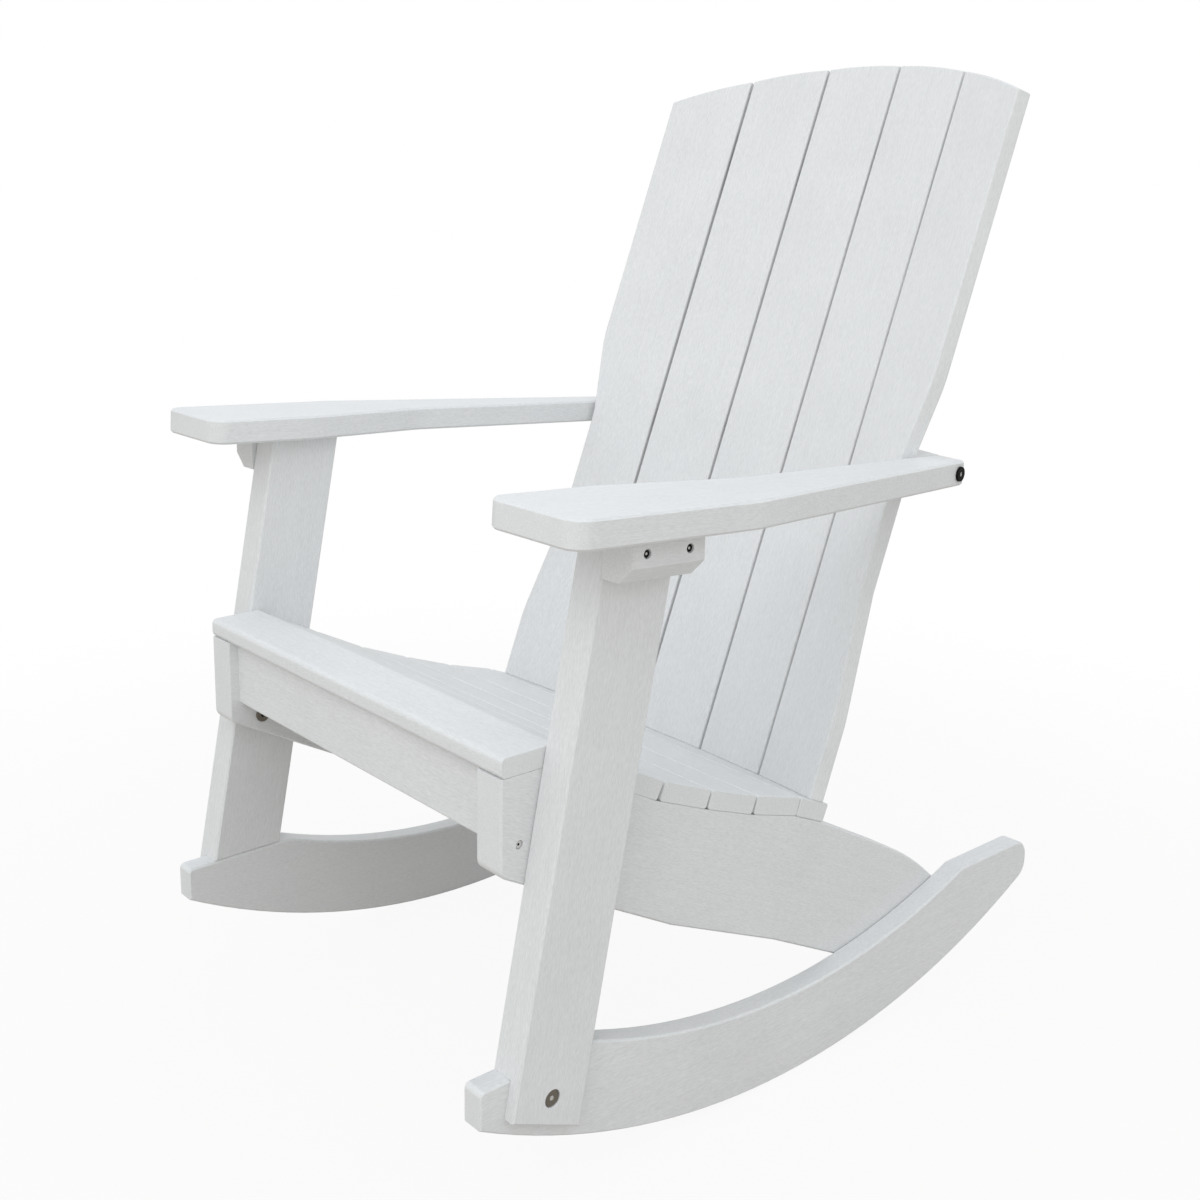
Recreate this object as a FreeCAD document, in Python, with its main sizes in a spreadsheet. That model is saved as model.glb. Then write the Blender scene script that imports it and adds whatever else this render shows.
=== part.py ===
import FreeCAD, Part
import math
import os
import Sketcher

# Rocking adirondack chair: every board, rail and fastener is a solid of its own.
# Millimetres, +Z up, floor at Z 0. The sitter looks along -Y, and the sitter's left is +X.

Vector = FreeCAD.Vector

# Driving dimensions in millimetres and degrees. Distances "behind the seat front" run along +Y.
DIMENSIONS = {
    # Frame
    "frameHalfWidth": 270.0,     # middle plane to the legs' and rockers' inner faces
    "seatFrontY": -392.9,        # front face of the front seat board
    "holeClearance": 0.2,        # radial gap round every fastener
    # Rockers
    "rockerRadius": 914.4,
    "rockerDepth": 96.0,
    "rockerThick": 25.4,
    "rockerCentreY": 3.5,
    "toeReach": 440.0,           # arc centre to the front end
    "tailReach": 433.0,          # arc centre to the rear end
    "shoulderReach": 298.0,      # half length of the hollow top edge
    "tailHeight": 43.2,          # height of the rear end over the running edge
    "toeRound": 6.0,
    "tailRound": 22.0,
    "rockerEdge": 2.0,
    # Legs
    "legThick": 38.0,
    "legWidth": 89.0,
    "legLean": 11.0,
    "legFootY": -8.3,            # leg's front edge behind the seat front, at the rocker's shoulder
    "lapClear": 16.4,            # lap's lower edge above the rocker's running edge
    "legEdge": 2.0,
    # Arms
    "armTopZ": 696.5,            # arm's top at the seat front
    "armSlope": 3.4,
    "armThick": 28.0,
    "armInner": 244.0,
    "armOuter": 367.0,
    "armHipX": 270.0,
    "armHipY": 302.0,
    "armBendInY": 128.0,
    "armBendOutY": 226.0,
    "armRearInner": 256.8,
    "armRearOuter": 296.0,
    "armRearInnerY": 585.0,
    "armLength": 645.0,
    "armRearSkew": 6.0,
    "armBendRound": 70.0,
    "armFrontRound": 20.0,
    "armRearRound": 6.0,
    "armEdge": 2.4,
    # Arm brackets
    "bracketThick": 38.0,
    "bracketDrop": 43.0,
    "bracketChamfer": 16.0,
    # Stringers
    "stringerThick": 37.0,
    "stringerFrontDepth": 96.0,  # lower front corner under the front board's lower face
    "stringerRound": 12.0,
    "stringerBreakY": 225.0,
    "stringerBreakZ": 221.0,
    "stringerWaistY": 385.0,
    "stringerWaistZ": 150.7,
    "stringerHeelY": 590.0,
    "stringerHeelZ": 48.0,
    "stringerCrownY": 585.0,
    "stringerCrownZ": 201.2,
    "stringerTailY": 698.0,
    "stringerTailZ": 112.0,
    "stringerTailRadius": 450.0,
    "stringerEdge": 2.0,
    # Seat
    "seatTopZ": 458.5,
    "boardThick": 20.8,
    "frontBoardDepth": 66.0,
    "frontBoardRound": 6.0,
    "slatStartY": 75.4,
    "slatStartZ": 450.6,
    "slatPitch": 74.3,
    "slatGap": 2.5,
    "slatRound": 3.5,
    "seatTilt1": 27.4,
    "seatTilt2": 26.7,
    "seatTilt3": 21.9,
    "seatTilt4": 19.9,
    "seatTilt5": 16.5,
    "rearBoardTilt": 23.2,
    "rearBoardLip": 12.0,        # rear board's edge behind the back slats
    # Apron and battens
    "apronSetBack": 12.5,
    "apronHeight": 75.5,
    "apronThick": 19.0,
    "battenThick": 20.0,
    "battenHeight": 25.0,
    # Back
    "backRecline": 21.1,
    "backRadius": 683.0,         # hollow of the back, to the middle slat's face
    "backFootReach": 73.7,       # rear board's front edge to the middle slat's face
    "backSlatPitch": 109.6,
    "backSlatGap": 3.2,
    "backSlatThick": 19.0,
    "backHeight": 877.5,
    "backCrownRadius": 640.0,
    "backSlatEdge": 1.4,
    "waistDepth": 17.9,
    "waistLowerStart": 91.0,
    "waistLowerEnd": 238.0,
    "waistUpperStart": 378.0,
    "waistUpperEnd": 480.0,
    "waistRound": 160.0,
    # Back rails
    "armRailDepth": 45.0,
    "upperRailDepth": 38.0,
    "upperRailWidth": 89.0,
    "upperRailHeight": 700.0,
    "upperRailInset": 34.0,      # rail's end from the outer slat's edge
    "upperRailTaper": 70.0,      # further inset of the end's rear corner
    # Cross rail under the rear board
    "crossRailStart": 16.0,      # along the rear board from its front seam
    "crossRailHeight": 50.0,
    # Fasteners
    "boltHead": 16.6,
    "boltHeadRise": 3.0,
    "boltSink": 4.2,             # seat of a sunk head under the board's face
    "boltShank": 8.0,
    "screwHead": 7.2,
    "screwHeadRise": 1.6,
    "screwSink": 3.0,
    "sinkGap": 0.9,              # radial gap round a sunk head
    "screwShank": 4.4,
    "legBoltY": 33.4,
    "legBoltRise": 47.4,         # above the rocker's running edge
    "legBoltGrip": 30.0,         # length inside the leg
    "rockerBoltGrip": 20.0,      # length inside the rocker
    "stringerBoltY": 42.0,
    "stringerBoltZ": 341.5,
    "armBoltAlong": 626.0,
    "armBoltGrip": 26.0,         # length inside the arm rail
    "bracketScrewDrop": 14.3,    # under the arm
    "bracketScrewInset": 18.8,
    "apronScrewRise": 7.0,       # above the apron's lower edge
    "screwGrip": 24.0,
}

doc = FreeCAD.newDocument("rocking_adirondack_chair")
sheet = doc.addObject("Spreadsheet::Sheet", "Sizes")

# Limits for finding edges: nearly parallel, and how far off a plane or a corner still counts.
PARALLEL = 0.999
SLACK = 0.5


class Bound:
    """A size with its number and the spreadsheet expression that it is bound to."""

    def __init__(self, value, text):
        self.value = float(value)
        self.text = text

    def __add__(self, other):
        other = bound(other)
        return Bound(self.value + other.value, f"({self.text} + {other.text})")

    def __sub__(self, other):
        other = bound(other)
        return Bound(self.value - other.value, f"({self.text} - {other.text})")

    def __mul__(self, other):
        other = bound(other)
        return Bound(self.value * other.value, f"({self.text} * {other.text})")

    def __truediv__(self, other):
        other = bound(other)
        return Bound(self.value / other.value, f"({self.text} / {other.text})")

    def __radd__(self, other):
        return bound(other) + self

    def __rsub__(self, other):
        return bound(other) - self

    def __rmul__(self, other):
        return bound(other) * self

    def __neg__(self):
        return Bound(-self.value, f"(0 - {self.text})")


def bound(number):
    """Wrap a plain number, so that it can stand in an expression."""
    if isinstance(number, Bound):
        return number
    return Bound(number, f"({float(number)!r})")


def size(name):
    return Bound(DIMENSIONS[name], f"Sizes.{name}")


def sine(angle):
    angle = bound(angle)
    return Bound(math.sin(math.radians(angle.value)), f"sin({angle.text} * 1 deg)")


def cosine(angle):
    angle = bound(angle)
    return Bound(math.cos(math.radians(angle.value)), f"cos({angle.text} * 1 deg)")


def tangent(angle):
    return sine(angle) / cosine(angle)


def root(number):
    return Bound(math.sqrt(number.value), f"sqrt({number.text})")


def turn_of(ratio):
    """Angle in degrees whose tangent is the ratio."""
    return Bound(math.degrees(math.atan(ratio.value)), f"(atan({ratio.text}) / 1 deg)")


def fill_sheet():
    for row, (name, value) in enumerate(DIMENSIONS.items(), start=1):
        sheet.set(f"A{row}", name)
        sheet.set(f"B{row}", repr(value))
        sheet.setAlias(f"B{row}", name)
    doc.recompute()


def origin_plane(body, role):
    for feature in body.Origin.OriginFeatures:
        if feature.Role == role:
            return feature
    raise RuntimeError(f"{body.Label} has no {role}")


def new_body(label):
    body = doc.addObject("PartDesign::Body", label)
    body.Label = label
    return body


def place_sketch(sketch, body, role, shift=(0, 0, 0), axis=None, angle=None):
    """Attach a sketch to its body's origin plane, moved by shift and turned by angle about axis."""
    sketch.AttachmentSupport = [(origin_plane(body, role), "")]
    sketch.MapMode = "FlatFace"
    shift = [bound(part) for part in shift]
    turn = FreeCAD.Rotation()
    if axis is not None:
        turn = FreeCAD.Rotation(Vector(*axis), bound(angle).value)
    base = Vector(*[part.value for part in shift])
    sketch.AttachmentOffset = FreeCAD.Placement(base, turn)
    for name, part in zip("xyz", shift):
        sketch.setExpression(f"AttachmentOffset.Base.{name}", part.text)
    if axis is not None:
        sketch.setExpression("AttachmentOffset.Rotation.Angle", bound(angle).text)


def arc_between(start, end, radius):
    """Arc from start to end. A positive radius bulges to the right of the way from start to end."""
    chord = math.hypot(end[0] - start[0], end[1] - start[1])
    rise = math.sqrt(radius * radius - chord * chord / 4)
    side = 1 if radius > 0 else -1
    along = ((end[0] - start[0]) / chord, (end[1] - start[1]) / chord)
    middle = ((start[0] + end[0]) / 2, (start[1] + end[1]) / 2)
    centre = (middle[0] - side * rise * along[1], middle[1] + side * rise * along[0])
    first = math.atan2(start[1] - centre[1], start[0] - centre[0])
    last = math.atan2(end[1] - centre[1], end[0] - centre[0])
    circle = Part.Circle(Vector(centre[0], centre[1], 0), Vector(0, 0, 1), abs(radius))
    if side < 0:
        first, last = last, first
    if last < first:
        last += 2 * math.pi
    return Part.ArcOfCircle(circle, first, last)


def draw_outline(sketch, points, bows=None):
    """Close an outline through bound points. bows gives the signed radius of an edge that is an arc."""
    bows = bows or {}
    count = len(points)
    points = [(bound(x), bound(y)) for x, y in points]
    starts = []
    for index, (x, y) in enumerate(points):
        next_x, next_y = points[(index + 1) % count]
        start = (x.value, y.value)
        end = (next_x.value, next_y.value)
        if index in bows:
            sketch.addGeometry(arc_between(start, end, bows[index].value))
            starts.append((1, 2) if bows[index].value > 0 else (2, 1))
        else:
            sketch.addGeometry(Part.LineSegment(Vector(*start, 0), Vector(*end, 0)))
            starts.append((1, 2))
    for index in range(count):
        following = (index + 1) % count
        sketch.addConstraint(
            Sketcher.Constraint("Coincident", index, starts[index][1], following, starts[following][0]))
    for index, point in enumerate(points):
        for kind, part in zip(("DistanceX", "DistanceY"), point):
            name = f"{kind[-1].lower()}{index}"
            rule = sketch.addConstraint(
                Sketcher.Constraint(kind, -1, 1, index, starts[index][0], part.value))
            sketch.renameConstraint(rule, name)
            sketch.setExpression(f"Constraints.{name}", part.text)
    for index, radius in bows.items():
        rule = sketch.addConstraint(Sketcher.Constraint("Radius", index, abs(radius.value)))
        sketch.renameConstraint(rule, f"bow{index}")
        text = radius.text if radius.value > 0 else f"(0 - {radius.text})"
        sketch.setExpression(f"Constraints.bow{index}", text)


def add_pad(body, points, length, role, bows=None, direction=None, both_ways=False, **place):
    sketch = body.newObject("Sketcher::SketchObject", body.Name + "_outline")
    place_sketch(sketch, body, role, **place)
    draw_outline(sketch, points, bows)
    pad = body.newObject("PartDesign::Pad", body.Name + "_pad")
    pad.Profile = sketch
    pad.Length = bound(length).value
    pad.setExpression("Length", bound(length).text)
    pad.Midplane = both_ways
    if direction is not None:
        pad.UseCustomVector = True
        pad.Direction = Vector(*[part.value for part in direction])
        for name, part in zip("xyz", direction):
            pad.setExpression(f"Direction.{name}", part.text)
    sketch.Visibility = False
    doc.recompute()
    return pad


def edge_names(shape, wanted):
    return [f"Edge{index}" for index, edge in enumerate(shape.Edges, start=1) if wanted(edge)]


def middle_of(edge):
    low, high = edge.ParameterRange
    return edge.valueAt((low + high) / 2)


def direction_of(edge):
    low, high = edge.ParameterRange
    along = edge.valueAt(high) - edge.valueAt(low)
    return along.normalize() if along.Length > 1e-9 else Vector()


def dress(body, kind, base, names, amount):
    """Fillet or chamfer the named edges of base, with the amount bound."""
    feature = body.newObject(f"PartDesign::{kind}", f"{body.Name}_{kind.lower()}")
    feature.Base = (base, names)
    prop = "Radius" if kind == "Fillet" else "Size"
    setattr(feature, prop, bound(amount).value)
    feature.setExpression(prop, bound(amount).text)
    doc.recompute()
    if "Invalid" in feature.State or feature.Shape.isNull():
        raise RuntimeError(f"{body.Label}: {kind} failed")
    return feature


def round_corners(body, base, along, corners, radius):
    """Round the edges that run along a direction through the given corner points."""
    def wanted(edge):
        if abs(direction_of(edge).dot(along)) < PARALLEL:
            return False
        spot = middle_of(edge)
        for corner in corners:
            gap = spot - corner
            if (gap - along * gap.dot(along)).Length < SLACK:
                return True
        return False
    return dress(body, "Fillet", base, edge_names(base.Shape, wanted), radius)


def ease_rims(body, base, along, amount, keep=None):
    """Chamfer the edges round both end faces of a board whose thickness runs along a direction."""
    reach = [vertex.Point.dot(along) for vertex in base.Shape.Vertexes]
    limits = (min(reach), max(reach))

    def wanted(edge):
        spots = [vertex.Point.dot(along) for vertex in edge.Vertexes] + [middle_of(edge).dot(along)]
        on_rim = any(max(abs(spot - limit) for spot in spots) < 1e-4 for limit in limits)
        return on_rim and (keep is None or keep(edge))
    return dress(body, "Chamfer", base, edge_names(base.Shape, wanted), amount)


fill_sheet()

FRAME_HALF = size("frameHalfWidth")
SEAT_FRONT = size("seatFrontY")
BOARD = size("boardThick")
ROCKER_INNER_RADIUS = size("rockerRadius") - size("rockerDepth")
SHOULDER_Z = size("rockerRadius") - root(
    ROCKER_INNER_RADIUS * ROCKER_INNER_RADIUS - size("shoulderReach") * size("shoulderReach"))
SIDES = {"left": 1, "right": -1}
ACROSS = Vector(1, 0, 0)
RIGHT_ANGLE = 90


def behind_front(distance):
    return SEAT_FRONT + distance


def running_z(reach):
    """Height of the rocker's running edge at a distance from the arc's centre."""
    radius = size("rockerRadius")
    return radius - root(radius * radius - reach * reach)


def side_offset(side, inner, thickness):
    """Sketch offset along X for a board whose inner face is at inner, on the given side."""
    return inner if side > 0 else -(inner + thickness)


def make_rocker(name, side):
    body = new_body(name)
    centre = size("rockerCentreY")
    toe, tail, shoulder = size("toeReach"), size("tailReach"), size("shoulderReach")
    tail_top = running_z(tail) + size("tailHeight")
    points = [
        (centre - toe, running_z(toe)),
        (centre + tail, running_z(tail)),
        (centre + tail, tail_top),
        (centre + shoulder, SHOULDER_Z),
        (centre - shoulder, SHOULDER_Z),
        (centre - toe, SHOULDER_Z),
    ]
    offset = side_offset(side, FRAME_HALF, size("rockerThick"))
    bows = {0: size("rockerRadius"), 3: -ROCKER_INNER_RADIUS}
    pad = add_pad(body, points, size("rockerThick"), "YZ_Plane", bows=bows, shift=(0, 0, offset))
    spots = [Vector(0, y.value, z.value) for y, z in points]
    rounded = round_corners(body, pad, ACROSS, spots[1:3], size("tailRound"))
    rounded = round_corners(body, rounded, ACROSS, spots[5:], size("toeRound"))
    ease_rims(body, rounded, ACROSS, size("rockerEdge"))
    return body


def leg_front_y(height):
    """Y of the leg's front edge at a height."""
    return behind_front(size("legFootY")) + (height - SHOULDER_Z) * tangent(size("legLean"))


LEG_SPAN = size("legWidth") / cosine(size("legLean"))


def arm_under_z(y):
    """Height of the arm's lower face at a Y."""
    top = size("armTopZ") - (y - SEAT_FRONT) * tangent(size("armSlope"))
    return top - size("armThick") / cosine(size("armSlope"))


def leg_top(front_y):
    """Where a line along the leg, with its foot at front_y on the shoulder, meets the arm."""
    lean = tangent(size("legLean"))
    drop = tangent(size("armSlope"))
    rise = (arm_under_z(front_y) - SHOULDER_Z) / (1 + lean * drop)
    return front_y + rise * lean, SHOULDER_Z + rise


def lap_corner(foot_y):
    """Lower corner of the leg's lap under a point of the shoulder."""
    centre = size("rockerCentreY")
    lean = tangent(size("legLean"))
    guess = running_z(foot_y - centre) + size("lapClear")
    y = foot_y - (SHOULDER_Z - guess) * lean
    z = running_z(y - centre) + size("lapClear")
    return foot_y - (SHOULDER_Z - z) * lean, z


def make_leg(name, side):
    body = new_body(name)
    front = leg_front_y(SHOULDER_Z)
    rear = front + LEG_SPAN
    upper = [(front, SHOULDER_Z), (rear, SHOULDER_Z), leg_top(rear), leg_top(front)]
    offset = side_offset(side, FRAME_HALF, size("legThick"))
    add_pad(body, upper, size("legThick"), "YZ_Plane", shift=(0, 0, offset))
    lap = [lap_corner(front), lap_corner(rear), (rear, SHOULDER_Z), (front, SHOULDER_Z)]
    lap_thick = size("legThick") - size("rockerThick")
    lap_offset = side_offset(side, FRAME_HALF + size("rockerThick"), lap_thick)
    pad = add_pad(body, lap, lap_thick, "YZ_Plane", shift=(0, 0, lap_offset))
    top_z = leg_top(rear)[1].value

    def long_or_low(edge):
        return middle_of(edge).z < top_z - SLACK
    ease_rims(body, pad, ACROSS, size("legEdge"), keep=long_or_low)
    return body


def make_arm(name, side):
    body = new_body(name)
    inner = [
        (size("armInner"), bound(0)),
        (size("armInner"), size("armBendInY")),
        (size("armHipX"), size("armHipY")),
        (size("armRearInner"), size("armRearInnerY")),
        (size("armRearInner"), size("armLength")),
    ]
    outer = [
        (size("armRearOuter"), size("armLength") - size("armRearSkew")),
        (size("armOuter"), size("armBendOutY")),
        (size("armOuter"), bound(0)),
    ]
    points = [(x * side, y) for x, y in inner + outer]
    place = {"shift": (0, SEAT_FRONT, size("armTopZ")), "axis": (1, 0, 0), "angle": -size("armSlope")}
    pad = add_pad(body, points, size("armThick"), "XY_Plane", **place)
    pad.Reversed = True
    doc.recompute()
    turn = FreeCAD.Rotation(Vector(1, 0, 0), -size("armSlope").value)
    base = Vector(0, SEAT_FRONT.value, size("armTopZ").value)
    spots = [base + turn.multVec(Vector(x.value, y.value, 0)) for x, y in points]
    upright = turn.multVec(Vector(0, 0, 1))
    rounded = round_corners(body, pad, upright, [spots[1], spots[2], spots[3], spots[6]],
                            size("armBendRound"))
    rounded = round_corners(body, rounded, upright, [spots[0], spots[7]], size("armFrontRound"))
    rounded = round_corners(body, rounded, upright, [spots[5]], size("armRearRound"))
    ease_rims(body, rounded, upright, size("armEdge"))
    return body


def make_bracket(name, side):
    body = new_body(name)
    inner = FRAME_HALF + size("legThick")
    low_z = arm_under_z(behind_front(size("legWidth"))) - size("bracketDrop")
    front = leg_front_y(low_z)
    rear = front + LEG_SPAN
    points = [
        (front, arm_under_z(front) - size("bracketDrop")),
        (rear, arm_under_z(rear) - size("bracketDrop")),
        (rear, arm_under_z(rear)),
        (front, arm_under_z(front)),
    ]
    offset = side_offset(side, inner, size("bracketThick"))
    pad = add_pad(body, points, size("bracketThick"), "YZ_Plane", shift=(0, 0, offset))
    outer_x = side * (inner + size("bracketThick")).value
    middle_z = arm_under_z(rear).value - size("bracketDrop").value / 2

    def outer_low_edge(edge):
        spot = middle_of(edge)
        runs_back = abs(direction_of(edge).y) > cosine(size("armSlope")).value - (1 - PARALLEL)
        return runs_back and spot.z < middle_z and abs(spot.x - outer_x) < SLACK
    names = edge_names(pad.Shape, outer_low_edge)
    dress(body, "Chamfer", pad, names, size("bracketChamfer"))
    return body


SEAT_TILTS = [size(f"seatTilt{number}") for number in range(1, 6)]


def seat_seams():
    """Upper front corners of the five slats and of the rear board, and their tilts."""
    y = behind_front(size("slatStartY"))
    z = size("slatStartZ")
    seams = [(y, z)]
    for tilt in SEAT_TILTS:
        y = y + size("slatPitch") * cosine(tilt)
        z = z - size("slatPitch") * sine(tilt)
        seams.append((y, z))
    return seams


SEAMS = seat_seams()
TILTS = SEAT_TILTS + [size("rearBoardTilt")]


def under_slat(index, along, depth):
    """Point under a slat's upper face: along it from its front seam and a depth below it."""
    y, z = SEAMS[index]
    tilt = TILTS[index]
    return (y + along * cosine(tilt) - depth * sine(tilt),
            z - along * sine(tilt) - depth * cosine(tilt))


def bearing_line(depth, last_along):
    """The line that the seat's slats bear on, at a depth under their upper faces."""
    points = [under_slat(0, bound(0), depth)]
    for index in range(1, len(TILTS)):
        half = (TILTS[index - 1] - TILTS[index]) / 2
        slip = depth * tangent(half)
        points.append(under_slat(index, -slip, depth))
    points.append(under_slat(len(TILTS) - 1, last_along, depth))
    return points


def rear_board_side_depth():
    """Depth of the rear board at its ends, along its tilt."""
    radius = size("backRadius") + size("backSlatThick") + size("rearBoardLip")
    half = root(radius * radius - FRAME_HALF * FRAME_HALF)
    return size("backFootReach") - size("backRadius") + half


def make_stringer(name, side):
    body = new_body(name)
    under_board = size("seatTopZ") - BOARD
    first = bearing_line(BOARD, rear_board_side_depth())
    points = [
        (SEAT_FRONT, under_board - size("stringerFrontDepth")),
        (behind_front(size("stringerBreakY")), size("stringerBreakZ")),
        (behind_front(size("stringerWaistY")), size("stringerWaistZ")),
        (behind_front(size("stringerHeelY")), size("stringerHeelZ")),
        (behind_front(size("stringerTailY")), size("stringerTailZ")),
        (behind_front(size("stringerCrownY")), size("stringerCrownZ")),
    ]
    points += list(reversed(first))
    points += [(first[0][0], under_board), (SEAT_FRONT, under_board)]
    offset = side_offset(side, FRAME_HALF - size("stringerThick"), size("stringerThick"))
    pad = add_pad(body, points, size("stringerThick"), "YZ_Plane",
                  bows={4: size("stringerTailRadius")}, shift=(0, 0, offset))
    spots = [Vector(0, y.value, z.value) for y, z in points]
    rounded = round_corners(body, pad, ACROSS, [spots[0], spots[3], spots[4]], size("stringerRound"))
    seat_front, seat_rear = first[0][0].value - SLACK, first[-1][0].value + SLACK
    crown_z = size("stringerCrownZ").value

    def clear_of_seat(edge):
        spot = middle_of(edge)
        if spot.z > under_board.value - SLACK:
            return False
        return not seat_front < spot.y < seat_rear or spot.z < crown_z
    ease_rims(body, rounded, ACROSS, size("stringerEdge"), keep=clear_of_seat)
    return body


def make_board(name, front_y, top_z, tilt, depth, radius):
    """A board across the seat, with its long edges rounded."""
    body = new_body(name)
    points = [(0, -BOARD), (depth, -BOARD), (depth, bound(0)), (bound(0), bound(0))]
    pad = add_pad(body, points, FRAME_HALF * 2, "YZ_Plane", both_ways=True,
                  shift=(front_y, top_z, 0), axis=(0, 0, 1), angle=-tilt)
    names = edge_names(pad.Shape, lambda edge: abs(direction_of(edge).x) > PARALLEL)
    dress(body, "Fillet", pad, names, radius)
    return body


def make_rear_board(name):
    body = new_body(name)
    y, z = SEAMS[-1]
    side_depth = rear_board_side_depth()
    radius = size("backRadius") + size("backSlatThick") + size("rearBoardLip")
    gap = size("slatGap")
    points = [(-FRAME_HALF, gap), (FRAME_HALF, gap), (FRAME_HALF, side_depth), (-FRAME_HALF, side_depth)]
    pad = add_pad(body, points, BOARD, "XY_Plane", bows={2: radius}, shift=(0, y, z), axis=(1, 0, 0),
                  angle=-size("rearBoardTilt"))
    pad.Reversed = True
    doc.recompute()
    names = edge_names(pad.Shape, lambda edge: abs(direction_of(edge).x) > PARALLEL)
    dress(body, "Chamfer", pad, names, size("backSlatEdge"))
    return body


def make_apron(name):
    body = new_body(name)
    half = FRAME_HALF - size("stringerThick")
    front = behind_front(size("apronSetBack"))
    top = size("seatTopZ") - BOARD
    low = top - size("apronHeight")
    rear = front + size("apronThick")
    points = [(front, low), (rear, low), (rear, top), (front, top)]
    pad = add_pad(body, points, half * 2, "YZ_Plane", both_ways=True)

    def low_edge(edge):
        return abs(direction_of(edge).x) > PARALLEL and middle_of(edge).z < low.value + SLACK
    dress(body, "Fillet", pad, edge_names(pad.Shape, low_edge), size("slatRound"))
    return body


def make_batten(name, side):
    body = new_body(name)
    upper = bearing_line(BOARD, size("crossRailStart"))
    lower = bearing_line(BOARD + size("battenHeight"), size("crossRailStart"))
    upper[0] = under_slat(0, size("slatGap"), BOARD)
    lower[0] = under_slat(0, size("slatGap"), BOARD + size("battenHeight"))
    inner = FRAME_HALF - size("stringerThick") - size("battenThick")
    offset = side_offset(side, inner, size("battenThick"))
    add_pad(body, lower + list(reversed(upper)), size("battenThick"), "YZ_Plane", shift=(0, 0, offset))
    return body


BACK_STEP = turn_of(size("backSlatPitch") / size("backRadius") / 2) * 2
UP_Y = sine(size("backRecline"))
UP_Z = cosine(size("backRecline"))
FOOT_Y = SEAMS[-1][0] + size("backFootReach") * cosine(size("rearBoardTilt"))
FOOT_Z = SEAMS[-1][1] - size("backFootReach") * sine(size("rearBoardTilt"))


def back_section(turn, outward, sideways=0):
    """Across and depth, square to the slats, at a turn round the hollow's axis."""
    radius = size("backRadius") + outward
    across = radius * sine(turn) + sideways * cosine(turn)
    deep = radius * cosine(turn) - sideways * sine(turn) - size("backRadius")
    return across, deep


def back_spot(section, height):
    """Point of the back from its section and its height up the slope."""
    across, deep = section
    return (across, FOOT_Y + deep * UP_Z + height * UP_Y, FOOT_Z - deep * UP_Y + height * UP_Z)


def placement_text(spot, *turns):
    spins = " * ".join(
        f"rotation(vector({x}; {y}; {z}); {bound(angle).text})" for (x, y, z), angle in turns)
    parts = "; ".join(bound(part).text for part in spot)
    return f"placement(vector({parts}); {spins})"


def make_back_slat(number):
    """One back slat. Number 3 is the middle one, and 1 is the sitter's right."""
    place = number - 3
    body = new_body(f"back_slat_{number}")
    half = (size("backSlatPitch") - size("backSlatGap")) / 2
    centre_x = size("backSlatPitch") * place
    crown = size("backCrownRadius")
    low = size("backHeight") - crown

    def crown_height(x):
        across = centre_x + x
        return low + root(crown * crown - across * across)
    foot = -BOARD
    left = [(-half, crown_height(-half)), (-half, foot)]
    right = [(half, foot), (half, crown_height(half))]
    waist = [
        (half, size("waistLowerStart")),
        (half - size("waistDepth"), size("waistLowerEnd")),
        (half - size("waistDepth"), size("waistUpperStart")),
        (half, size("waistUpperEnd")),
    ]
    if place == 2:
        right[1:1] = waist
    if place == -2:
        left[1:1] = [(-x, y) for x, y in reversed(waist)]
    points = left + right
    pad = add_pad(body, points, size("backSlatThick"), "XY_Plane", bows={len(points) - 1: crown})
    pad.Reversed = True
    doc.recompute()
    inward = Vector(0, 0, 1)
    rounded = pad
    if abs(place) == 2:
        side = place / 2
        spots = [Vector(side * bound(x).value, bound(y).value, 0) for x, y in waist]
        rounded = round_corners(body, rounded, inward, spots, size("waistRound"))
    ease_rims(body, rounded, inward, size("backSlatEdge"), keep=lambda edge: middle_of(edge).y > 0)
    turn = BACK_STEP * place
    spot = back_spot(back_section(turn, bound(0)), bound(0))
    upright = ((1, 0, 0), RIGHT_ANGLE - size("backRecline"))
    text = placement_text(spot, upright, ((0, 1, 0), -turn))
    body.setExpression("Placement", text)
    doc.recompute()
    return body


def foot_plane_tool():
    """A block under the rear board's upper face, which trims the back slats' feet."""
    block = doc.addObject("Part::Box", "foot_trim")
    length = FRAME_HALF * 3
    for prop, value in (("Length", length), ("Width", FRAME_HALF), ("Height", BOARD * 4)):
        block.setExpression(prop, value.text)
    y, z = SEAMS[-1]
    tilt = size("rearBoardTilt")
    deep = BOARD * 4
    spot = (-length / 2, y - deep * sine(tilt), z - deep * cosine(tilt))
    block.setExpression("Placement", placement_text(spot, ((1, 0, 0), -tilt)))
    doc.recompute()
    return block


def slat_seams(outward):
    """Sections of the four lines where neighbouring slats' planes meet, at a depth behind their faces."""
    seams = []
    for place in (-1.5, -0.5, 0.5, 1.5):
        reach = (size("backRadius") + outward) / cosine(BACK_STEP / 2) - size("backRadius")
        seams.append(back_section(BACK_STEP * place, reach))
    return seams


def height_under_arm_top(section, drop):
    """Height up the back at which a line along the slats is a drop below the arms' top plane."""
    slope = tangent(size("armSlope"))
    _, y, z = back_spot(section, bound(0))
    plane_z = size("armTopZ") - drop / cosine(size("armSlope")) - (y - SEAT_FRONT) * slope
    return (plane_z - z) / (UP_Z + slope * UP_Y)


def on_arm_plane(section):
    """Point of the arm's plan, across and along, where a line along the slats crosses it."""
    height = height_under_arm_top(section, bound(0))
    across, y, _ = back_spot(section, height)
    return across, (y - SEAT_FRONT) / cosine(size("armSlope"))


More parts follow.
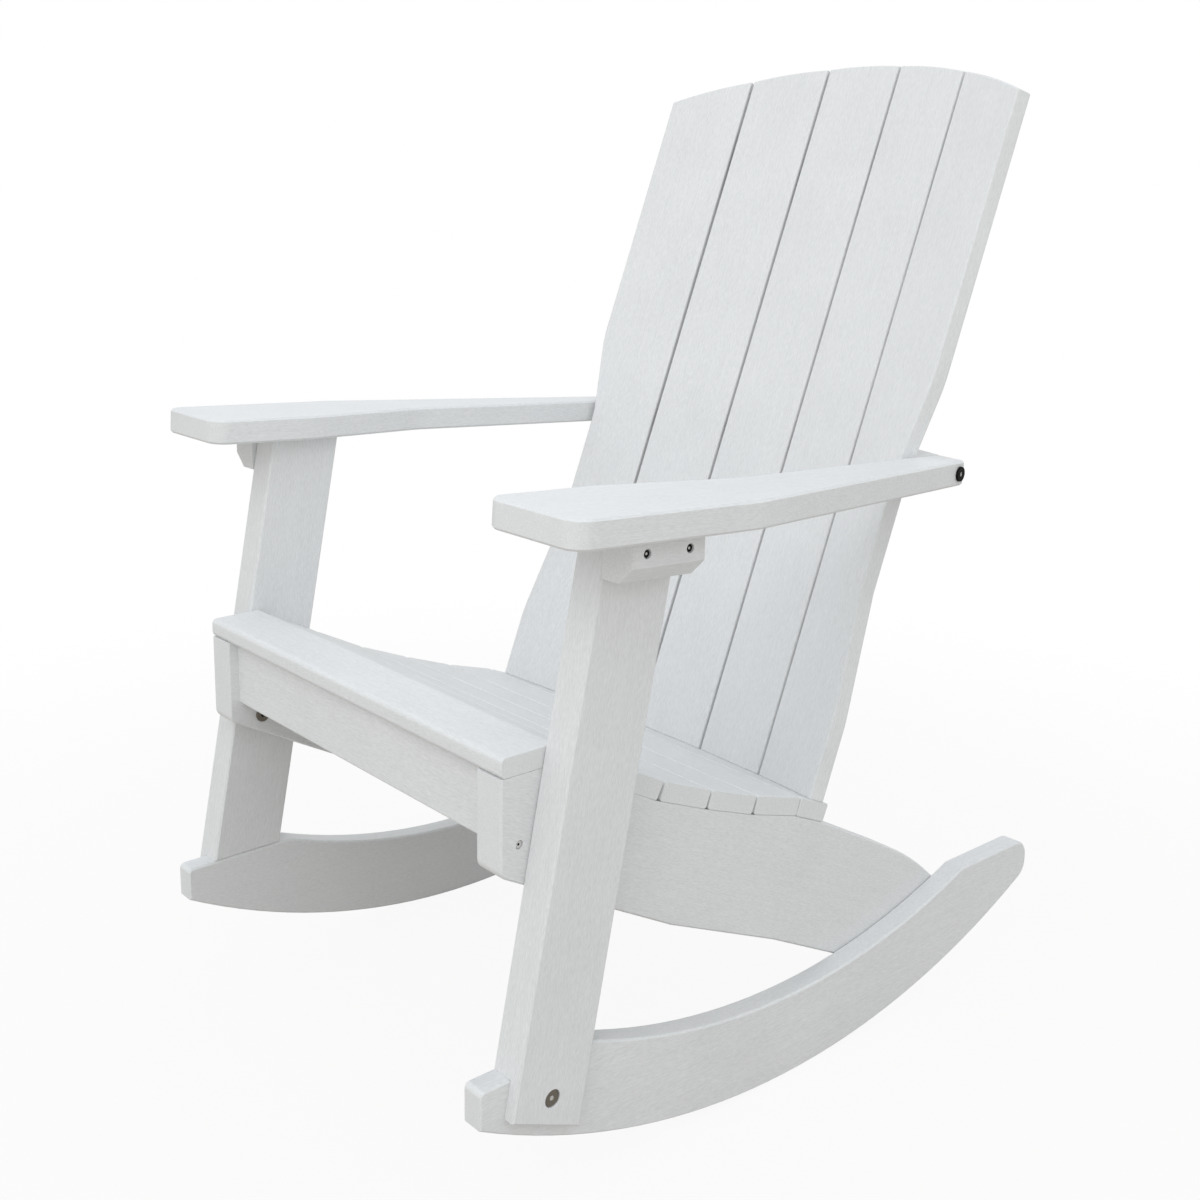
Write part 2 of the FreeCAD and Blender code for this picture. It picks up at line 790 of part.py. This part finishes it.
def make_arm_rail(name):
    body = new_body(name)
    thick = size("backSlatThick")
    turn = BACK_STEP * 2
    reach = size("armRearInner")
    middle, _ = back_section(turn, thick)
    end = back_section(turn, thick, (reach - middle) / cosine(turn))
    end_along = on_arm_plane(end)[1]
    points = [(-reach, end_along)]
    points += [on_arm_plane(seam) for seam in slat_seams(thick)]
    points += [(reach, end_along), (reach, size("armLength")), (-reach, size("armLength"))]
    swing = (size("backRadius") + thick + size("armRailDepth")) * cosine(
        size("backRecline") - size("armSlope"))
    place = {"shift": (0, SEAT_FRONT, size("armTopZ")), "axis": (1, 0, 0), "angle": -size("armSlope")}
    add_pad(body, points, size("armThick"), "XY_Plane", bows={len(points) - 2: swing},
            direction=(bound(0), -UP_Y, -UP_Z), **place)
    return body


def make_upper_rail(name):
    body = new_body(name)
    thick = size("backSlatThick")
    turn = BACK_STEP * 2
    near = (size("backSlatPitch") - size("backSlatGap")) / 2 - size("upperRailInset")
    far = near - size("upperRailTaper")
    depth = thick + size("upperRailDepth")
    points = [back_section(-turn, thick, -near)] + slat_seams(thick)
    points += [back_section(turn, thick, near), back_section(turn, depth, far)]
    points.append(back_section(-turn, depth, -far))
    full = size("backRadius") + depth
    swing = root(full * full + far * far)
    add_pad(body, points, size("upperRailWidth"), "XY_Plane", bows={len(points) - 2: swing})
    spot = back_spot((bound(0), bound(0)), size("upperRailHeight"))
    body.setExpression("Placement", placement_text(spot, ((1, 0, 0), -size("backRecline"))))
    doc.recompute()
    return body


def make_cross_rail(name):
    body = new_body(name)
    y, z = SEAMS[-1]
    start = size("crossRailStart")
    low = -(BOARD + size("crossRailHeight"))
    points = [(start, low), (start + BOARD, low), (start + BOARD, -BOARD), (start, -BOARD)]
    width = (FRAME_HALF - size("stringerThick")) * 2
    add_pad(body, points, width, "YZ_Plane", both_ways=True, shift=(y, z, 0), axis=(0, 0, 1),
            angle=-size("rearBoardTilt"))
    return body


class Fastener:
    """A flat-headed fastener and its bore. Its head stands along local +Z from its seat."""

    def __init__(self, label, spot, turns, length, kind, sunk):
        self.frame = placement_text(spot, *turns)
        self.length = length
        self.kind = kind
        self.label = label
        self.sunk = sunk

    def rod(self, word, radius, low, high):
        rod = doc.addObject("Part::Cylinder", f"{self.label}_{word}")
        rod.setExpression("Radius", radius.text)
        rod.setExpression("Height", (high - low).text)
        lift = bound(low) - self.sunk
        shift = f"placement(vector(0; 0; {lift.text}); rotation(vector(0; 0; 1); 0))"
        rod.setExpression("Placement", f"{self.frame} * {shift}")
        return rod

    def solid(self):
        rise = size(f"{self.kind}HeadRise")
        whole = doc.addObject("Part::Fuse", f"{self.label}_whole")
        whole.Base = self.rod("head", size(f"{self.kind}Head") / 2, bound(0), rise)
        whole.Tool = self.rod("shank", size(f"{self.kind}Shank") / 2, -self.length, rise / 2)
        return whole

    def bores(self):
        clear = size("holeClearance")
        bores = [self.rod("bore", size(f"{self.kind}Shank") / 2 + clear, -self.length - clear, clear)]
        if self.sunk.value > 0:
            wide = size(f"{self.kind}Head") / 2 + size("sinkGap")
            bores.append(self.rod("sink", wide, bound(0), self.sunk + clear))
        return bores


OUTWARD = {side: ((0, 1, 0), bound(RIGHT_ANGLE * side)) for side in SIDES.values()}
INWARD = {side: ((0, 1, 0), bound(-RIGHT_ANGLE * side)) for side in SIDES.values()}
groups = {}
tools = {}


def add_fastener(group, hosts, spot, turns, length, kind, sunk=0):
    """Add one fastener to its group, and its bore to every board that it runs through."""
    members = groups.setdefault(group, [])
    fastener = Fastener(f"{group}_{len(members) + 1}", spot, turns, length, kind, bound(sunk))
    members.append(fastener.solid())
    bores = fastener.bores()
    for host in hosts:
        tools.setdefault(host, []).extend(bores)


def add_side_fasteners(word, side):
    """Fasteners of one side: rocker, leg, arm, bracket and stringer."""
    rocker, leg, arm = f"{word}_rocker", f"{word}_leg", f"{word}_arm"
    bracket, stringer = f"{word}_arm_bracket", f"{word}_stringer"
    inner = FRAME_HALF - size("stringerThick")
    outer = FRAME_HALF + size("legThick")
    lap = size("legThick") - size("rockerThick")
    y = behind_front(size("legBoltY"))
    z = running_z(y - size("rockerCentreY")) + size("legBoltRise")
    sunk = size("boltSink")
    add_fastener("leg_rocker_bolts", [leg, rocker], (outer * side, y, z), [OUTWARD[side]],
                 lap + size("rockerBoltGrip") - sunk, "bolt", sunk)
    spot = (inner * side, behind_front(size("stringerBoltY")), size("stringerBoltZ"))
    add_fastener("leg_stringer_bolts", [stringer, leg], spot, [INWARD[side]],
                 size("stringerThick") + size("legBoltGrip"), "bolt")

    front = leg_front_y(arm_under_z(behind_front(size("legWidth"))) - size("bracketDrop"))
    face = outer + size("bracketThick")
    for inset in (size("bracketScrewInset"), LEG_SPAN - size("bracketScrewInset")):
        y = front + inset
        spot = (face * side, y, arm_under_z(y) - size("bracketScrewDrop"))
        add_fastener("arm_bracket_screws", [bracket, leg], spot, [OUTWARD[side]],
                     size("bracketThick") + size("screwGrip") - size("screwSink"), "screw",
                     size("screwSink"))

    taper = (size("armOuter") - size("armRearOuter")) / (
        size("armLength") - size("armRearSkew") - size("armBendOutY"))
    slope = size("armSlope")
    along = size("armBoltAlong")
    half = size("armThick") / 2
    x = size("armRearOuter") + (size("armLength") - size("armRearSkew") - along) * taper
    spot = (x * side, SEAT_FRONT + along * cosine(slope) - half * sine(slope),
            size("armTopZ") - along * sine(slope) - half * cosine(slope))
    turns = [((1, 0, 0), -slope), ((0, 0, 1), turn_of(taper) * side), OUTWARD[side]]
    length = (x - size("armRearInner")) + size("armBoltGrip")
    add_fastener("arm_rail_bolts", [arm, "arm_rail"], spot, turns, length, "bolt")

    low = size("seatTopZ") - BOARD - size("apronHeight")
    y = behind_front(size("apronSetBack")) + size("apronThick") / 2
    add_fastener("apron_screws", [stringer, "front_apron"],
                 (FRAME_HALF * side, y, low + size("apronScrewRise")), [OUTWARD[side]],
                 size("stringerThick") + size("screwGrip") - size("screwSink"), "screw",
                 size("screwSink"))


def drill(blank):
    """Cut a board's bores, and give the result the board's name."""
    name = blank.Label
    if name not in tools:
        return blank
    blank.Label = f"{name}_blank"
    bores = doc.addObject("Part::Compound", f"{name}_bores")
    bores.Links = tools[name]
    cut = doc.addObject("Part::Cut", name)
    cut.Base = blank
    cut.Tool = bores
    cut.Label = name
    return cut


def trim_foot(blank, trim):
    name = blank.Label
    blank.Label = f"{name}_uncut"
    cut = doc.addObject("Part::Cut", f"{name}_trimmed")
    cut.Base = blank
    cut.Tool = trim
    cut.Label = name
    return cut


def check(thing, parts):
    if "Invalid" in thing.State or "Error" in thing.State:
        raise RuntimeError(f"{thing.Label} failed: {thing.State}")
    if thing in parts:
        shape = thing.Shape
        if shape.isNull() or not shape.isValid() or not shape.Solids:
            raise RuntimeError(f"{thing.Label} has no valid solid")


boards = []
for word, side in SIDES.items():
    boards.append(make_rocker(f"{word}_rocker", side))
    boards.append(make_leg(f"{word}_leg", side))
    boards.append(make_arm(f"{word}_arm", side))
    boards.append(make_bracket(f"{word}_arm_bracket", side))
    boards.append(make_stringer(f"{word}_stringer", side))
    boards.append(make_batten(f"{word}_seat_batten", side))
boards.append(make_apron("front_apron"))
boards.append(make_board("seat_front_board", SEAT_FRONT, size("seatTopZ"), bound(0),
                         size("frontBoardDepth"), size("frontBoardRound")))
for number, (seam, tilt) in enumerate(zip(SEAMS, SEAT_TILTS), start=1):
    boards.append(make_board(f"seat_slat_{number}", seam[0] + size("slatGap") * cosine(tilt),
                             seam[1] - size("slatGap") * sine(tilt), tilt,
                             size("slatPitch") - size("slatGap"), size("slatRound")))
boards.append(make_rear_board("seat_rear_board"))
boards.append(make_cross_rail("rear_cross_rail"))
foot_trim = foot_plane_tool()
for number in range(1, 6):
    boards.append(trim_foot(make_back_slat(number), foot_trim))
boards.append(make_arm_rail("arm_rail"))
boards.append(make_upper_rail("upper_back_rail"))

for word, side in SIDES.items():
    add_side_fasteners(word, side)
parts = [drill(blank) for blank in boards]
for name, members in groups.items():
    group = doc.addObject("Part::Compound", name)
    group.Links = members
    parts.append(group)
doc.recompute()
for thing in doc.Objects:
    check(thing, parts)

os.makedirs("parts", exist_ok=True)
for part in parts:
    part.Shape.exportStep(f"parts/{part.Label}.step")
    print(part.Label, len(part.Shape.Solids), round(part.Shape.Volume / 1000, 2))
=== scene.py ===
import bpy
import math
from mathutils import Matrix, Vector


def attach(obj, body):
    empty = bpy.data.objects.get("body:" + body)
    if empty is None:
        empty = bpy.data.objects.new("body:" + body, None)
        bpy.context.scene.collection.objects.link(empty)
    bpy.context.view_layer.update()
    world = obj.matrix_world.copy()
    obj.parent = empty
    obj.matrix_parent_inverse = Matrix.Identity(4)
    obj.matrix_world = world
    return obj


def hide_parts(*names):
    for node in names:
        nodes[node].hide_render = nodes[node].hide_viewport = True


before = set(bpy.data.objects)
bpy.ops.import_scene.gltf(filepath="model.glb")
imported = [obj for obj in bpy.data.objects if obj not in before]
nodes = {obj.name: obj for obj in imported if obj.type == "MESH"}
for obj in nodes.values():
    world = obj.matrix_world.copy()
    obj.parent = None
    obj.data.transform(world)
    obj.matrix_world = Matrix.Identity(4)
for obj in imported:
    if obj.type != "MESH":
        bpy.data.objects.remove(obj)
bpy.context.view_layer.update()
print("frame loaded:", len(nodes), "nodes")


# camera at the photograph's angle, worked out for a square frame

photoCamera = {
    "place": (1.26137, -1.1958, 0.98340),
    "down": 12.66,      # degrees below the horizon
    "round": 52.17,     # degrees round the chair from its front
    "sensor": 36,
    "lens": 45.475,
    "shift": (0.10651, -0.08330),
}

cameraData = bpy.data.cameras.new("photo_camera")
camera = bpy.data.objects.new("photo_camera", cameraData)
bpy.context.scene.collection.objects.link(camera)
camera.location = photoCamera["place"]
cameraPitch = math.radians(90 - photoCamera["down"])
camera.rotation_euler = (cameraPitch, 0, math.radians(photoCamera["round"]))
cameraData.sensor_width = photoCamera["sensor"]
cameraData.lens = photoCamera["lens"]
cameraData.shift_x, cameraData.shift_y = photoCamera["shift"]
bpy.context.scene.camera = camera
print("camera placed")


# shader helpers

class Wire:
    # one output of a node, with maths written as plain expressions
    def __init__(self, maker, socket):
        self.maker = maker
        self.socket = socket

    def maths(self, operation, first, second):
        return self.maker.add("ShaderNodeMath", {"operation": operation}, {0: first, 1: second})

    def __add__(self, other):
        return self.maths("ADD", self, other)

    def __radd__(self, other):
        return self.maths("ADD", other, self)

    def __sub__(self, other):
        return self.maths("SUBTRACT", self, other)

    def __rsub__(self, other):
        return self.maths("SUBTRACT", other, self)

    def __mul__(self, other):
        return self.maths("MULTIPLY", self, other)

    def __rmul__(self, other):
        return self.maths("MULTIPLY", other, self)


class Maker:
    # adds nodes to one material or world
    def __init__(self, owner):
        owner.use_nodes = True
        self.owner = owner
        self.tree = owner.node_tree
        self.tree.nodes.clear()

    def add(self, kind, settings=None, inputs=None, output=0):
        node = self.tree.nodes.new(kind)
        for key, value in (settings or {}).items():
            setattr(node, key, value)
        for key, value in (inputs or {}).items():
            self.feed(node.inputs[key], value)
        return Wire(self, node.outputs[output]) if node.outputs else node

    def feed(self, socket, value):
        if isinstance(value, Wire):
            self.tree.links.new(value.socket, socket)
        else:
            socket.default_value = value

    def mixColours(self, share, first, second):
        return self.add("ShaderNodeMix", {"data_type": "RGBA"},
                        {0: share, 6: (*first, 1), 7: (*second, 1)}, output=2)


def newMaterial(name):
    return Maker(bpy.data.materials.new(name))


# white board: short flecks, long streaks and soft clouds of tone, drawn out along the board

boardLook = {
    "pale": (0.822, 0.830, 0.836),
    "dull": (0.660, 0.668, 0.674),
    "fleck": {"length": 0.0065, "width": 0.0010, "detail": 2.0, "tone": 1.5, "height": 0.6},
    "streak": {"length": 0.080, "width": 0.0026, "detail": 3.0, "tone": 0.45, "height": 0.4},
    "cloud": {"length": 0.09, "width": 0.09, "detail": 2.0, "tone": 0.35},
    "noiseRoughness": 0.55,
    "roughness": 0.46,
    "roughnessSpread": 0.18,
    "bumpDepth": 0.00035,
    "bumpStrength": 0.34,
    "ior": 1.5,
    "specular": 0.4,
}


def stretchedNoise(maker, turned, mark):
    scale = (1 / mark["length"], 1 / mark["width"], 1 / mark["width"])
    scaled = maker.add("ShaderNodeMapping", {"vector_type": "POINT"},
                       {"Vector": turned, "Scale": scale})
    return maker.add("ShaderNodeTexNoise", {"noise_dimensions": "3D"}, {
        "Vector": scaled, "Scale": 1.0, "Detail": mark["detail"],
        "Roughness": boardLook["noiseRoughness"]})


def boardMaterial(name, along):
    look = boardLook
    maker = newMaterial(name)
    place = maker.add("ShaderNodeTexCoord", output="Object")
    turn = Vector(along).rotation_difference(Vector((1, 0, 0))).to_euler()
    turned = maker.add("ShaderNodeMapping", {"vector_type": "POINT"},
                       {"Vector": place, "Rotation": tuple(turn)})
    fleck = stretchedNoise(maker, turned, look["fleck"])
    streak = stretchedNoise(maker, turned, look["streak"])
    cloud = stretchedNoise(maker, turned, look["cloud"])
    tone = (0.5 + (fleck - 0.5) * look["fleck"]["tone"]
            + (streak - 0.5) * look["streak"]["tone"]
            + (cloud - 0.5) * look["cloud"]["tone"])
    colour = maker.mixColours(tone, look["dull"], look["pale"])
    height = fleck * look["fleck"]["height"] + streak * look["streak"]["height"]
    bump = maker.add("ShaderNodeBump", {}, {
        "Strength": look["bumpStrength"], "Distance": look["bumpDepth"], "Height": height})
    shader = maker.add("ShaderNodeBsdfPrincipled", {}, {
        "Base Color": colour,
        "Roughness": look["roughness"] + (fleck - 0.5) * look["roughnessSpread"],
        "Normal": bump, "IOR": look["ior"], "Specular IOR Level": look["specular"]})
    maker.add("ShaderNodeOutputMaterial", {}, {"Surface": shader})
    return maker.owner


# fasteners: blackened, bronzed and bright steel for the heads; each socket takes a second colour
# as painted light, dark for painted shade in the recess and bright for a painted highlight

steelLooks = {
    # the black of the arm bolts' heads, and also painted shade in the sockets of the bright and
    # bronzed heads
    "blackened_and_socket_shade": {"tint": (0.004, 0.004, 0.004), "worn": (0.010, 0.010, 0.009),
                  "metallic": 0.0, "roughness": 0.55, "specular": 0.1},
    "bronzed": {"tint": (0.150, 0.132, 0.108), "worn": (0.290, 0.262, 0.222),
                "metallic": 0.7, "roughness": 0.38, "specular": 0.5},
    # the steel of the apron screws' heads, and also a painted highlight in the sockets of the
    # blackened and bronzed heads
    "bright_and_socket_highlight": {"tint": (0.620, 0.610, 0.590), "worn": (0.780, 0.775, 0.765),
               "metallic": 0.6, "roughness": 0.28, "specular": 0.5},
}

steelSpeck = {
    "scale": 900.0,
    "detail": 2.0,
    "noiseRoughness": 0.6,
    "wear": 0.6,            # how far a speck turns the tint to the worn colour
    "roughnessSpread": 0.2,
    "bumpDepth": 0.0002,
    "bumpStrength": 0.15,
}


def steelMaterial(name):
    look = steelLooks[name]
    maker = newMaterial(name + "_steel")
    place = maker.add("ShaderNodeTexCoord", output="Object")
    speck = maker.add("ShaderNodeTexNoise", {"noise_dimensions": "3D"}, {
        "Vector": place, "Scale": steelSpeck["scale"], "Detail": steelSpeck["detail"],
        "Roughness": steelSpeck["noiseRoughness"]})
    colour = maker.mixColours(speck * steelSpeck["wear"], look["tint"], look["worn"])
    bump = maker.add("ShaderNodeBump", {}, {
        "Strength": steelSpeck["bumpStrength"], "Distance": steelSpeck["bumpDepth"],
        "Height": speck})
    shader = maker.add("ShaderNodeBsdfPrincipled", {}, {
        "Base Color": colour, "Metallic": look["metallic"],
        "Roughness": look["roughness"] + (speck - 0.5) * steelSpeck["roughnessSpread"],
        "Specular IOR Level": look["specular"], "Normal": bump})
    maker.add("ShaderNodeOutputMaterial", {}, {"Surface": shader})
    return maker.owner


# a copy of a CAD node's mesh, with its loose triangles merged back to whole faces

meshMerge = {
    "distance": 0.00001,
    "flatWithin": 1.0,      # degrees
}


def deselectAll():
    bpy.ops.object.select_all(action="DESELECT")


def pieceFrom(nodeName, pieceName):
    deselectAll()
    source = nodes[nodeName]
    piece = bpy.data.objects.new(pieceName, source.data.copy())
    piece.data.name = pieceName
    bpy.context.scene.collection.objects.link(piece)
    bpy.context.view_layer.objects.active = piece
    piece.select_set(True)
    bpy.ops.object.mode_set(mode="EDIT")
    bpy.ops.mesh.select_all(action="SELECT")
    bpy.ops.mesh.remove_doubles(threshold=meshMerge["distance"])
    bpy.ops.mesh.dissolve_limited(angle_limit=math.radians(meshMerge["flatWithin"]))
    bpy.ops.object.mode_set(mode="OBJECT")
    return piece


def finishPiece(piece, nodeName):
    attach(piece, "root")
    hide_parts(nodeName)


# boards: the merged solid with its hard edges eased

boardEdges = {
    "ease": 0.0011,
    "segments": 2,
    "sharp": 28,            # degrees, above which an edge is eased
    "smoothBelow": 35,      # degrees, below which two faces shade as one
    "normalWeight": 60,     # how much the broad faces rule the shading
}


def easeEdges(piece, width, segments):
    bevel = piece.modifiers.new("ease", "BEVEL")
    bevel.width = width
    bevel.segments = segments
    bevel.limit_method = "ANGLE"
    bevel.angle_limit = math.radians(boardEdges["sharp"])
    bpy.context.view_layer.objects.active = piece
    deselectAll()
    piece.select_set(True)
    bpy.ops.object.modifier_apply(modifier="ease")
    bpy.ops.object.shade_smooth_by_angle(angle=math.radians(boardEdges["smoothBelow"]))
    flat = piece.modifiers.new("flat", "WEIGHTED_NORMAL")
    flat.weight = boardEdges["normalWeight"]
    flat.keep_sharp = True
    bpy.ops.object.modifier_apply(modifier="flat")


def lean(angle):
    # along a board that leans back from upright
    return (0, math.sin(math.radians(angle)), math.cos(math.radians(angle)))


def slope(angle):
    # along a board that drops towards the rear
    return (0, math.cos(math.radians(angle)), -math.sin(math.radians(angle)))


boardGrains = {
    "across": (1, 0, 0),
    "leg": lean(11.0),
    "back": lean(21.1),
    "arm": slope(3.4),
    "stringer": slope(27.0),
    "rocker": (0, 1, 0),
}

grainWords = {              # word in a board's name, and its grain
    "left_arm": "arm",
    "right_arm": "arm",
    "leg": "leg",
    "rocker": "rocker",
    "stringer": "stringer",
    "batten": "stringer",
    "back_slat": "back",
}

grains = {name: boardMaterial("white_board_" + name, along) for name, along in boardGrains.items()}


def grainOf(nodeName):
    for word, grain in grainWords.items():
        if word in nodeName:
            return grain
    return "across"


fastenerNodes = [name for name in nodes if name.endswith(("bolts", "screws"))]
boardNodes = [name for name in nodes if name not in fastenerNodes]

for name in sorted(boardNodes):
    board = pieceFrom(name, name + "_board")
    easeEdges(board, boardEdges["ease"], boardEdges["segments"])
    board.data.materials.clear()
    board.data.materials.append(grains[grainOf(name)])
    finishPiece(board, name)
print("boards finished:", len(boardNodes))


# bolts and screws: a hexagon socket sunk into each head, and the rim eased

fastenerLook = {
    "bolts": {"radius": 0.0083, "socket": 0.0026, "depth": 0.0007, "ease": 0.0008},
    "screws": {"radius": 0.0036, "socket": 0.0014, "depth": 0.0004, "ease": 0.0003},
}

fastenerShape = {
    "rimSegments": 3,
    "areaSlack": 0.08,      # share by which a head's cap may miss its area
    "flats": 0.95,          # half of the socket across its flats, as a share of its reach
    "wall": 0.00001,        # draft of the socket's wall
}

fastenerHeadAndSocketLight = {          # steel of the head, then the colour of its socket, which is painted light: a dark socket is painted shade in the recess, a bright one a painted highlight
    "arm_rail_bolts": ("blackened_and_socket_shade", "bright_and_socket_highlight"),
    "arm_bracket_screws": ("blackened_and_socket_shade", "bright_and_socket_highlight"),
    "leg_rocker_bolts": ("bronzed", "bright_and_socket_highlight"),
    "leg_stringer_bolts": ("bronzed", "blackened_and_socket_shade"),
    "apron_screws": ("bright_and_socket_highlight", "blackened_and_socket_shade"),
}


def selectHeads(piece, radius):
    # every cap of the head's area, that is its top
    area = math.pi * radius * radius
    bpy.ops.object.mode_set(mode="EDIT")
    bpy.ops.mesh.select_mode(type="FACE")
    bpy.ops.mesh.select_all(action="DESELECT")
    bpy.ops.object.mode_set(mode="OBJECT")
    slack = area * fastenerShape["areaSlack"]
    found = [face for face in piece.data.polygons if abs(face.area - area) < slack]
    for face in found:
        face.select = True
    return len(found)


def makeHexagon(piece, face, reach):
    centre = face.center.copy()
    first = (piece.data.vertices[face.vertices[0]].co - centre).normalized()
    side = face.normal.cross(first)
    sixth = math.radians(60)
    for index in face.vertices:
        arm = piece.data.vertices[index].co - centre
        fromFlat = math.atan2(arm.dot(side), arm.dot(first)) % sixth - sixth / 2
        length = reach * fastenerShape["flats"] / math.cos(fromFlat)
        piece.data.vertices[index].co = centre + arm.normalized() * length


def sinkSockets(piece, look):
    # each cap shrinks to a small ring, which is drawn to a hexagon and pushed in
    count = selectHeads(piece, look["radius"])
    bpy.ops.object.mode_set(mode="EDIT")
    bpy.ops.mesh.inset(thickness=look["radius"] - look["socket"], use_individual=True)
    bpy.ops.object.mode_set(mode="OBJECT")
    for face in [face for face in piece.data.polygons if face.select]:
        makeHexagon(piece, face, look["socket"])
    bpy.ops.object.mode_set(mode="EDIT")
    bpy.ops.mesh.inset(thickness=fastenerShape["wall"], depth=-look["depth"], use_individual=True)
    bpy.ops.object.mode_set(mode="OBJECT")
    # the socket's faces take the second colour: painted shade where it is dark, a painted
    # highlight where it is bright
    for face in piece.data.polygons:
        face.material_index = 1 if face.select else 0
    return count


steels = {name: steelMaterial(name) for name in steelLooks}
for name in sorted(fastenerNodes):
    look = fastenerLook["bolts" if name.endswith("bolts") else "screws"]
    fastener = pieceFrom(name, name + "_steel")
    fastener.data.materials.clear()
    for headSteelThenSocketLight in fastenerHeadAndSocketLight[name]:
        fastener.data.materials.append(steels[headSteelThenSocketLight])
    heads = sinkSockets(fastener, look)
    easeEdges(fastener, look["ease"], fastenerShape["rimSegments"])
    finishPiece(fastener, name)
    print(name, "heads:", heads)


# floor: pale, with the chair's shadow, and white to the camera further out

floorLook = {
    "size": 30,
    "drop": 0.0005,
    "colour": (0.600, 0.580, 0.540),
    "glow": 0.92,           # white mixed in for the camera, near the chair
    "fadeStart": 0.7,       # distances from the middle over which the floor turns white
    "fadeEnd": 1.8,
}

deselectAll()
bpy.ops.mesh.primitive_plane_add(size=floorLook["size"], location=(0, 0, -floorLook["drop"]))
floor = bpy.context.active_object
floor.name = "floor"
floorMaker = newMaterial("floor")
matte = floorMaker.add("ShaderNodeBsdfDiffuse", {}, {"Color": (*floorLook["colour"], 1)})
glow = floorMaker.add("ShaderNodeEmission", {}, {"Color": (1, 1, 1, 1), "Strength": 1.0})
floorRays = floorMaker.add("ShaderNodeLightPath", output="Is Camera Ray")
floorPlace = floorMaker.add("ShaderNodeTexCoord", output="Object")
away = floorMaker.add("ShaderNodeVectorMath", {"operation": "LENGTH"}, {0: floorPlace}, output=1)
fade = floorMaker.add("ShaderNodeMapRange", {"interpolation_type": "SMOOTHSTEP"}, {
    "Value": away, "From Min": floorLook["fadeStart"], "From Max": floorLook["fadeEnd"],
    "To Min": floorLook["glow"], "To Max": 1.0})
floorShader = floorMaker.add("ShaderNodeMixShader", {}, {0: floorRays * fade, 1: matte, 2: glow})
floorMaker.add("ShaderNodeOutputMaterial", {}, {"Surface": floorShader})
floor.data.materials.append(floorMaker.owner)
print("floor laid")


# world: soft light, a little bluer from above, and plain white to the camera

worldLook = {
    "horizon": (0.995, 0.982, 0.955),
    "zenith": (0.890, 0.945, 1.0),
    "strength": 0.92,
}

world = bpy.data.worlds.new("studio")
bpy.context.scene.world = world
sky = Maker(world)
cameraRay = sky.add("ShaderNodeLightPath", output="Is Camera Ray")
rayOutputs = cameraRay.socket.node.outputs
glossyRay = Wire(sky, rayOutputs["Is Glossy Ray"])
clearRay = Wire(sky, rayOutputs["Is Transmission Ray"])
seen = sky.add("ShaderNodeMath", {"operation": "MINIMUM"},
               {0: cameraRay + glossyRay + clearRay, 1: 1.0})
skyPlace = sky.add("ShaderNodeTexCoord", output="Generated")
skyHeight = sky.add("ShaderNodeSeparateXYZ", {}, {0: skyPlace}, output=2)
skyTint = sky.mixColours(skyHeight, worldLook["horizon"], worldLook["zenith"])
soft = sky.add("ShaderNodeBackground", {}, {"Color": skyTint, "Strength": worldLook["strength"]})
white = sky.add("ShaderNodeBackground", {}, {"Color": (1, 1, 1, 1), "Strength": 1.0})
mixed = sky.add("ShaderNodeMixShader", {}, {0: seen, 1: soft, 2: white})
sky.add("ShaderNodeOutputWorld", {}, {"Surface": mixed})
print("world lit")


# lamps: two soft discs that face the middle of the seat

lampAim = (0, 0, 0.5)

lamps = {
    "key": {"place": (1.4, -2.6, 2.9), "size": 2.6, "power": 29},
    "top": {"place": (0.2, -0.4, 4.2), "size": 3.2, "power": 9},
}


def addLamp(name, look):
    data = bpy.data.lights.new(name, "AREA")
    data.shape = "DISK"
    data.size = look["size"]
    data.energy = look["power"]
    lamp = bpy.data.objects.new(name, data)
    bpy.context.scene.collection.objects.link(lamp)
    lamp.location = look["place"]
    lamp.rotation_euler = (Vector(lampAim) - lamp.location).to_track_quat("-Z", "Y").to_euler()


for name, look in lamps.items():
    addLamp(name, look)
bpy.context.scene.view_settings.view_transform = "Standard"
print("lamps placed")
